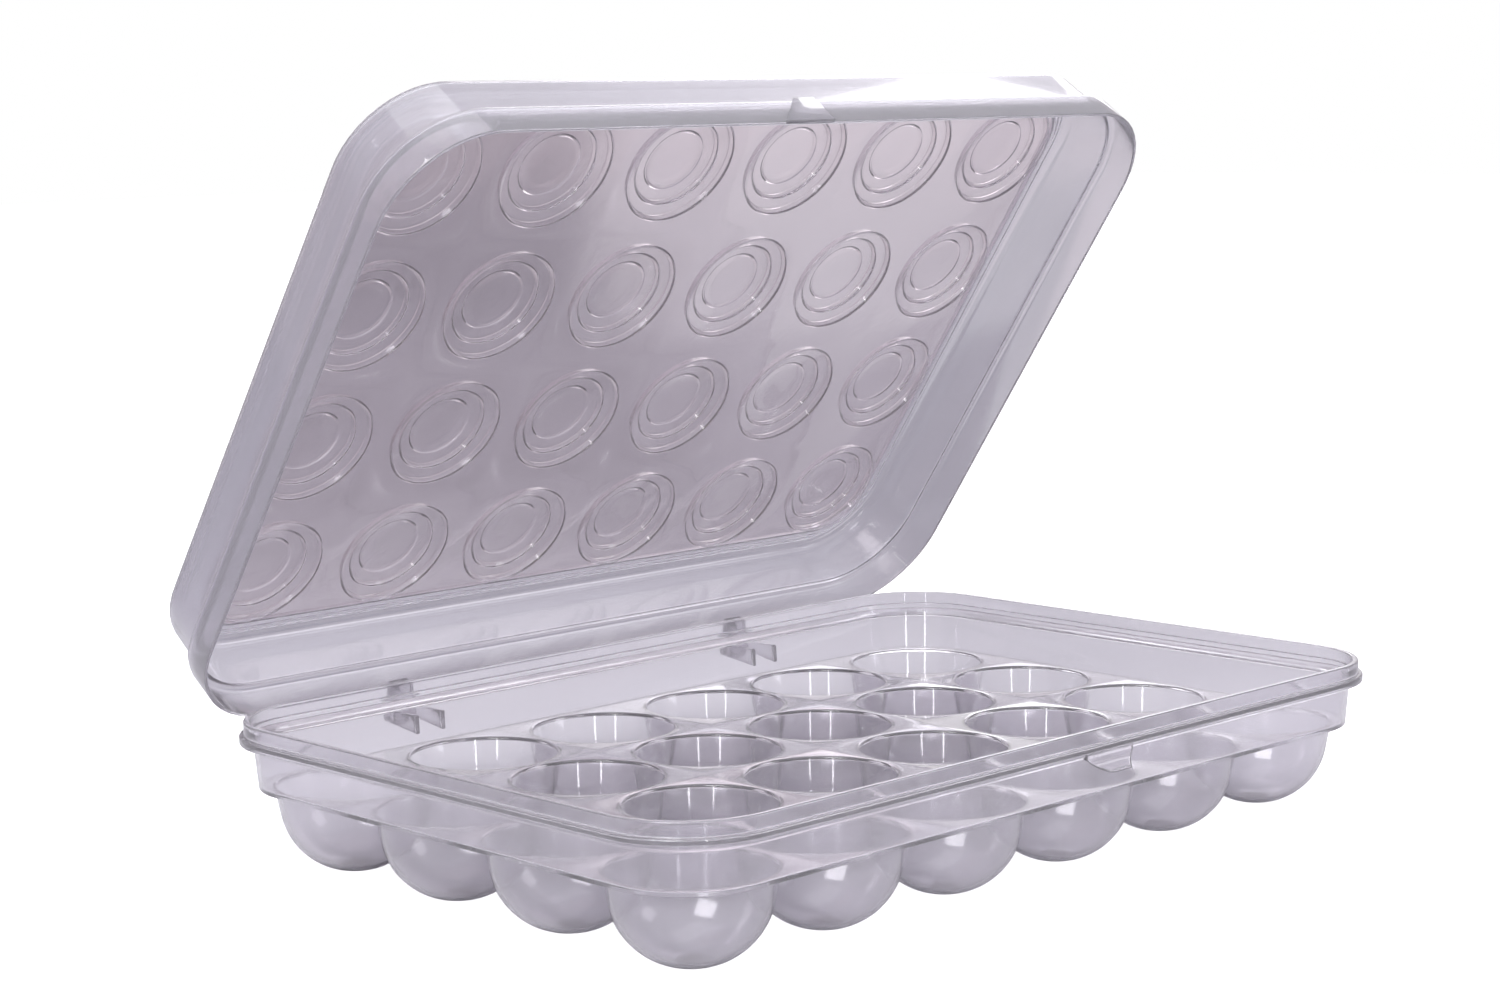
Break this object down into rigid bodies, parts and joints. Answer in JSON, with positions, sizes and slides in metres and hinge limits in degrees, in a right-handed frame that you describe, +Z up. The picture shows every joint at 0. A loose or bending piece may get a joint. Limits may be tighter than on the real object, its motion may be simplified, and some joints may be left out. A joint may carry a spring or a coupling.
{
  "type": "egg carton",
  "caption": "Translucent plastic egg box for 24 eggs: a 6 x 4 cup tray with a hinged domed lid that stands open.",
  "frame": {"origin": "middle of the tray's footprint, on the surface that its cup feet stand on", "axes": "+X along the long side with six cups, -Y towards the front with the finger tabs, +Y towards the hinge, +Z up"},
  "size_m": [0.3208, 0.249, 0.2363],
  "materials": {
    "tray_plastic": "gloss",
    "lid_plastic": "gloss"
  },
  "bodies": {
    "tray": {"tray_front": "tray_plastic", "tray_back": "tray_plastic", "tray_left": "tray_plastic", "tray_right": "tray_plastic", "tray_corner_front_left": "tray_plastic", "tray_corner_front_right": "tray_plastic", "tray_corner_back_left": "tray_plastic", "tray_corner_back_right": "tray_plastic", "cup_a1": "tray_plastic", "cup_a2": "tray_plastic", "cup_a3": "tray_plastic", "cup_a4": "tray_plastic", "cup_a5": "tray_plastic", "cup_a6": "tray_plastic", "cup_b1": "tray_plastic", "cup_b2": "tray_plastic", "cup_b3": "tray_plastic", "cup_b4": "tray_plastic", "cup_b5": "tray_plastic", "cup_b6": "tray_plastic", "cup_c1": "tray_plastic", "cup_c2": "tray_plastic", "cup_c3": "tray_plastic", "cup_c4": "tray_plastic", "cup_c5": "tray_plastic", "cup_c6": "tray_plastic", "cup_d1": "tray_plastic", "cup_d2": "tray_plastic", "cup_d3": "tray_plastic", "cup_d4": "tray_plastic", "cup_d5": "tray_plastic", "cup_d6": "tray_plastic"},
    "lid": {"lid_rim": "lid_plastic", "lid_panel": "lid_plastic"}
  },
  "joints": [
    {"name": "lid_hinge", "type": "hinge", "parent": "tray", "child": "lid", "pos_m": [0, 0.118, 0.034], "axis": [-1, 0, 0], "range_deg": [-55, 55]}
  ]
}
